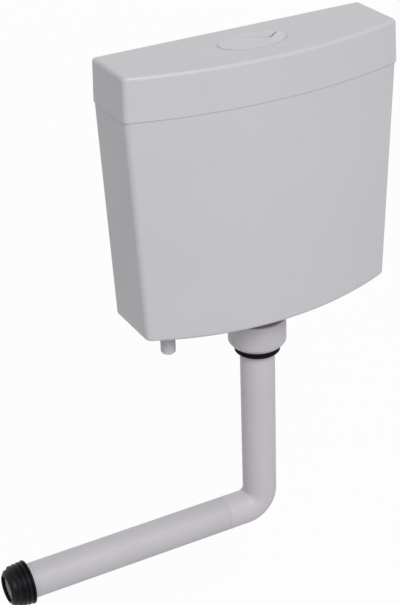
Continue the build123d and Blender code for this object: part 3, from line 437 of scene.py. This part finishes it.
def grown(name, tree, sizes):
    seed = bpy.data.objects.new(name, bpy.data.meshes.new(name + "_seed"))
    scene.collection.objects.link(seed)
    modifier = seed.modifiers.new("growth", "NODES")
    modifier.node_group = tree
    keys = {
        item.name: item.identifier
        for item in tree.interface.items_tree if item.in_out == "INPUT"
    }
    for size_name, value in sizes.items():
        modifier[keys[size_name]] = value
    bpy.context.view_layer.update()
    shape = seed.evaluated_get(bpy.context.evaluated_depsgraph_get())
    mesh = bpy.data.meshes.new_from_object(shape)
    mesh.name = name
    seed.modifiers.remove(modifier)
    seed.data = mesh
    return seed


def closed_and_smooth(mesh, angle):
    work = bmesh.new()
    work.from_mesh(mesh)
    bmesh.ops.remove_doubles(work, verts=work.verts, dist=weld_distance)
    bmesh.ops.recalc_face_normals(work, faces=work.faces)
    work.to_mesh(mesh)
    work.free()
    for polygon in mesh.polygons:
        polygon.use_smooth = True
    mesh.set_sharp_from_angle(angle=radians(angle))


spring_wire = drawn_metal(
    "spring_wire", spring_steel, spring_steel_shade, spring_roughness, unstretched
)
for press in ("full", "half"):
    low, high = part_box(press + "_button_spring")
    middle = (low + high) / 2
    spring = grown(press + "_spring_coil", winding, {
        "Coil Radius": spring_coil_radius, "Wire Radius": spring_wire_radius,
        "Turns": float(spring_turns), "Height": high.z - low.z - 2 * spring_wire_radius,
        "Turn Steps": spring_turn_steps, "Wire Sides": spring_wire_sides,
        "Place": Vector((middle.x, middle.y, low.z + spring_wire_radius)),
        "Material": spring_wire,
    })
    closed_and_smooth(spring.data, spring_smooth_angle)
    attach(spring, "lid")
    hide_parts(press + "_button_spring")
    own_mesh(spring)

# Thread of the tray's shank, below its collar nut. Like every thread here it is wound as a
# four-sided ridge whose inner half sinks into the plain tube.
shank_radius = 0.019
shank_thread_depth = 0.0006
shank_thread_pitch = 0.002
shank_plain_end = 0.001
shank_nut_gap = 0.0005
thread_roughness = 0.4
thread_steps = 72
thread_sides = 4
thread_smooth_angle = 20
valve_axis = (0, -0.06)


def thread(
    name, body, axis, radius, low_z, high_z, pitch, depth, material, steps=thread_steps
):
    piece = grown(name, winding, {
        "Coil Radius": radius, "Wire Radius": depth,
        "Turns": (high_z - low_z) / pitch, "Height": high_z - low_z,
        "Turn Steps": steps, "Wire Sides": thread_sides, "Place": Vector((*axis, low_z)),
        "Material": material,
    })
    closed_and_smooth(piece.data, thread_smooth_angle)
    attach(piece, body)


tray_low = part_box("button_tray")[0]
collar_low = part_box("button_collar_nut")[0]
# The shank thread takes the tray's colours, which are painted lighter as painted light.
thread_plastic = moulded_plastic("thread_plastic", tray_white_painted_light, tray_dark_painted_light, thread_roughness)
thread(
    "shank_thread", "lid", valve_axis, shank_radius,
    tray_low.z + shank_plain_end, collar_low.z - shank_nut_gap,
    shank_thread_pitch, shank_thread_depth, thread_plastic,
)

# Outlet: a flanged valve base through the tank's floor and a fluted backnut below, coloured dark
# grey as painted shade, so that their thread shows as a dark line above the cup nut where the gap
# lies in shade. A black rubber gasket sits inside.
base_grey_painted_shade = srgb(60, 60, 64)
base_dark_painted_shade = srgb(52, 52, 56)
base_roughness = 0.42
black_rubber = srgb(15, 15, 16)
rubber_bloom = srgb(24, 24, 25)
washer_roughness = 0.55
rubber_gloss = 0.14
rubber_cloud_scale = 45.0
rubber_cloud_detail = 4.0
rubber_cloud_band = (0.35, 0.75)
rubber_grain_scale = 900.0
rubber_grain_detail = 3.0
rubber_grain_depth = 0.00004
rubber_grain_dulling = 0.12
outlet_tail_radius = 0.0298
outlet_thread_depth = 0.0007
outlet_thread_pitch = 0.0021
outlet_nut_gap = 0.0008


def rubber(name, base, bloom, roughness):
    material, place = start_material(name)
    cloud = place.noise(rubber_cloud_scale, rubber_cloud_detail).ramp(*rubber_cloud_band)
    grain = place.noise(rubber_grain_scale, rubber_grain_detail)
    return end_material(
        material,
        {
            "Base Color": cloud.blend(base, bloom),
            "Roughness": roughness + rubber_grain_dulling * grain,
            "Normal": grain.bump(rubber_grain_depth),
        },
        {"Specular IOR Level": rubber_gloss},
    )


base_painted_shade_plastic = moulded_plastic("valve_base_painted_shade", base_grey_painted_shade, base_dark_painted_shade, base_roughness)
dress(base_painted_shade_plastic, "flush_valve_base", "outlet_backnut")
gasket_rubber = rubber("gasket_rubber", black_rubber, rubber_bloom, washer_roughness)
dress(gasket_rubber, "outlet_gasket", "inlet_washer")
backnut_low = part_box("outlet_backnut")[0]
cup_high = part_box("union_nut")[1]
# Painted shade: the outlet thread is coloured dark grey like the base.
thread(
    "outlet_thread", "cistern", valve_axis, outlet_tail_radius,
    cup_high.z + outlet_nut_gap, backnut_low.z - outlet_nut_gap,
    outlet_thread_pitch, outlet_thread_depth, base_painted_shade_plastic,
)

# Flush valve inside the tank: cage and tower in white, moving tube in pale grey with a red rubber
# seal, rockers and slider in blue and grey so that the fitter can tell them apart, on a steel pin.
cage_white = srgb(228, 229, 231)
cage_shade = srgb(219, 220, 223)
cage_roughness = 0.45
tube_grey = srgb(201, 206, 210)
tube_shade = srgb(190, 196, 201)
tube_roughness = 0.40
seal_red = srgb(118, 34, 30)
seal_bloom = srgb(128, 44, 38)
seal_roughness = 0.5
rocker_blue = srgb(62, 112, 170)
rocker_blue_shade = srgb(54, 101, 156)
rocker_roughness = 0.40
slider_grey = srgb(150, 156, 162)
slider_shade = srgb(140, 146, 152)
slider_roughness = 0.42
pin_bright = srgb(182, 182, 184)
pin_shade = srgb(160, 160, 163)
pin_roughness = 0.26

cage_plastic = moulded_plastic("cage_plastic", cage_white, cage_shade, cage_roughness)
dress(cage_plastic, "flush_valve_cage", "valve_tower")
dress(moulded_plastic("tube_plastic", tube_grey, tube_shade, tube_roughness), "overflow_tube")
dress(rubber("seal_rubber", seal_red, seal_bloom, seal_roughness), "flush_seal")
rocker_plastic = moulded_plastic(
    "rocker_plastic", rocker_blue, rocker_blue_shade, rocker_roughness
)
dress(rocker_plastic, "full_flush_rocker")
slider_plastic = moulded_plastic("slider_plastic", slider_grey, slider_shade, slider_roughness)
dress(slider_plastic, "half_flush_rocker", "half_flush_float")
pin_steel = drawn_metal("pin_steel", pin_bright, pin_shade, pin_roughness, along_x)
dress(pin_steel, "rocker_pin")

# Cup nut and pipe seal: the deep plain nut is a little greyer than the tank, and the black rubber
# seal shows below it as a grooved lip.
nut_white = (0.512, 0.492, 0.525, 1)
nut_shade = (0.484, 0.463, 0.496, 1)
nut_roughness = 0.44
lip_black = srgb(5, 5, 8)
lip_bloom = srgb(9, 9, 13)
lip_roughness = 0.5

dress(moulded_plastic("cup_nut_plastic", nut_white, nut_shade, nut_roughness), "union_nut")
dress(rubber("lip_rubber", lip_black, lip_bloom, lip_roughness), "pipe_seal")

# Flush pipe: white extruded pipe, faintly lilac, with fine draw lines. The leg is cemented into the
# bend just past the elbow, and its bore is painted lighter than its skin, as painted light inside
# the pipe's mouth.
pipe_white = (0.562, 0.536, 0.562, 1)
pipe_shade = (0.544, 0.517, 0.543, 1)
leg_white = (0.527, 0.514, 0.538, 1)
leg_shade = (0.505, 0.492, 0.516, 1)
bore_painted_light_white = (0.82, 0.81, 0.83, 1)
pipe_roughness = 0.42
pipe_line_scale = 500.0
pipe_bore_radius = 0.023
bore_edge_start = 0.0003
bore_edge_end = 0.0009
across_leg = (0, 1, 1)

bend_plastic = drawn_plastic(
    "bend_plastic", pipe_white, pipe_shade, pipe_roughness, along_z, pipe_line_scale
)
dress(bend_plastic, "flush_bend")
leg_plastic = drawn_plastic(
    "leg_plastic", leg_white, leg_shade, pipe_roughness, along_x, pipe_line_scale
)
leg_low, leg_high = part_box("flush_leg")
leg_middle = (leg_low + leg_high) / 2
leg_place = Output(leg_plastic.node_tree).node("ShaderNodeTexCoord", output="Object")
off_axis = leg_place.node(
    "ShaderNodeVectorMath", {"operation": "SUBTRACT"},
    {0: leg_place, 1: (0, leg_middle.y, leg_middle.z)},
)
across = off_axis.node(
    "ShaderNodeVectorMath", {"operation": "MULTIPLY"}, {0: off_axis, 1: across_leg}
)
from_axis = across.node("ShaderNodeVectorMath", {"operation": "LENGTH"}, {0: across}, 1)
leg_shader = leg_plastic.node_tree.nodes["Principled BSDF"]
skin = Output(leg_plastic.node_tree, leg_shader.inputs["Base Color"].links[0].from_socket)
# Painted light: inside the wall's radius the leg's colour is a lighter white than its skin.
bore_light_mask = from_axis.ramp(pipe_bore_radius + bore_edge_start, pipe_bore_radius + bore_edge_end)
leg_plastic.node_tree.links.new(
    bore_light_mask.blend(bore_painted_light_white, skin).socket, leg_shader.inputs["Base Color"]
)
dress(leg_plastic, "flush_leg")

# Flush cone: a finned connector moulded in black rubber and pushed over the end of the leg. Its
# satin skin greys a little, in soft clouds, where it has been handled.
cone_black = srgb(8, 8, 13)
cone_bloom = srgb(16, 16, 22)
cone_roughness = 0.36

dress(rubber("cone_rubber", cone_black, cone_bloom, cone_roughness), "flush_cone")

# Water inlet: the tail is a white plastic shank with a half inch pipe thread, held by a hexagon
# backnut under the floor. A strainer sits in its end.
tail_white = (0.640, 0.634, 0.650, 1)
tail_shade = (0.612, 0.606, 0.621, 1)
tail_roughness = 0.42
strainer_white = srgb(222, 222, 220)
strainer_shade = srgb(210, 210, 208)
strainer_roughness = 0.5
inlet_axis = (-0.1405, -0.06)
inlet_core_radius = 0.0096
inlet_crest_radius = 0.01048
inlet_shank_radius = 0.0102
inlet_bore_radius = 0.007
inlet_flange_radius = 0.015
inlet_flange_thickness = 0.003
inlet_thread_length = 0.0315
inlet_thread_pitch = 0.001814
inlet_chamfer = 0.001
inlet_thread_start = 0.0006
inlet_thread_stop = 0.0012
lathe_sides = 72
lathe_smooth_angle = 35


def lathe(name, profile, axis):
    mesh = bpy.data.meshes.new(name)
    work = bmesh.new()
    rings = []
    for radius, height in profile:
        ring = []
        for step in range(lathe_sides):
            turn = 2 * pi * step / lathe_sides
            ring.append(work.verts.new(
                (axis[0] + radius * cos(turn), axis[1] + radius * sin(turn), height)
            ))
        rings.append(ring)
    for lower, upper in zip(rings, rings[1:] + rings[:1]):
        for step in range(lathe_sides):
            after = (step + 1) % lathe_sides
            work.faces.new((lower[step], lower[after], upper[after], upper[step]))
    work.to_mesh(mesh)
    work.free()
    closed_and_smooth(mesh, lathe_smooth_angle)
    piece = bpy.data.objects.new(name, mesh)
    scene.collection.objects.link(piece)
    return piece


tail_low, tail_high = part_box("inlet_tail")
thread_low_z = tail_low.z + inlet_chamfer
thread_high_z = thread_low_z + inlet_thread_length
flange_z = tail_high.z - inlet_flange_thickness
tail = lathe("inlet_tail_core", [
    (inlet_bore_radius, tail_low.z),
    (inlet_core_radius - inlet_chamfer / 2, tail_low.z),
    (inlet_core_radius, thread_low_z),
    (inlet_core_radius, thread_high_z - inlet_chamfer),
    (inlet_shank_radius, thread_high_z),
    (inlet_shank_radius, flange_z),
    (inlet_flange_radius, flange_z),
    (inlet_flange_radius, tail_high.z),
    (inlet_bore_radius, tail_high.z),
], inlet_axis)
tail_plastic = moulded_plastic("tail_plastic", tail_white, tail_shade, tail_roughness)
tail.data.materials.append(tail_plastic)
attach(tail, "cistern")
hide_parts("inlet_tail")
thread(
    "inlet_thread", "cistern", inlet_axis, inlet_core_radius,
    thread_low_z + inlet_thread_start, thread_high_z - inlet_thread_stop,
    inlet_thread_pitch, inlet_crest_radius - inlet_core_radius, tail_plastic,
)
dress(tail_plastic, "inlet_backnut")
strainer_plastic = moulded_plastic(
    "strainer_plastic", strainer_white, strainer_shade, strainer_roughness
)
dress(strainer_plastic, "inlet_strainer")

# Float valve inside the tank: riser and head in white, cap and lever in grey, a black rubber
# diaphragm, a stainless lever pin, and a float cup in pale polypropylene on its threaded rod.
valve_white = srgb(230, 230, 229)
valve_shade = srgb(221, 221, 220)
valve_roughness = 0.42
cap_grey = srgb(120, 128, 136)
cap_shade = srgb(110, 118, 126)
cap_roughness = 0.42
float_pale = srgb(214, 218, 220)
float_shade = srgb(203, 208, 211)
float_roughness = 0.48
float_rod_radius = 0.002
float_rod_plain_end = 0.002
float_rod_pitch = 0.0011
float_rod_depth = 0.00028
float_rod_steps = 24

valve_plastic = moulded_plastic("valve_plastic", valve_white, valve_shade, valve_roughness)
dress(valve_plastic, "valve_riser", "valve_head", "refill_tube")
cap_plastic = moulded_plastic("cap_plastic", cap_grey, cap_shade, cap_roughness)
dress(cap_plastic, "valve_cap", "float_lever")
diaphragm_rubber = rubber("diaphragm_rubber", black_rubber, rubber_bloom, washer_roughness)
dress(diaphragm_rubber, "valve_diaphragm")
dress(pin_steel, "lever_pin")
float_plastic = moulded_plastic("float_plastic", float_pale, float_shade, float_roughness)
dress(float_plastic, "float_cup", "float_rod")
rod_low, rod_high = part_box("float_rod")
rod_middle = (rod_low + rod_high) / 2
thread(
    "float_rod_thread", "float", (rod_middle.x, rod_middle.y), float_rod_radius,
    rod_low.z + float_rod_plain_end, rod_high.z - float_rod_plain_end,
    float_rod_pitch, float_rod_depth, float_plastic, float_rod_steps,
)
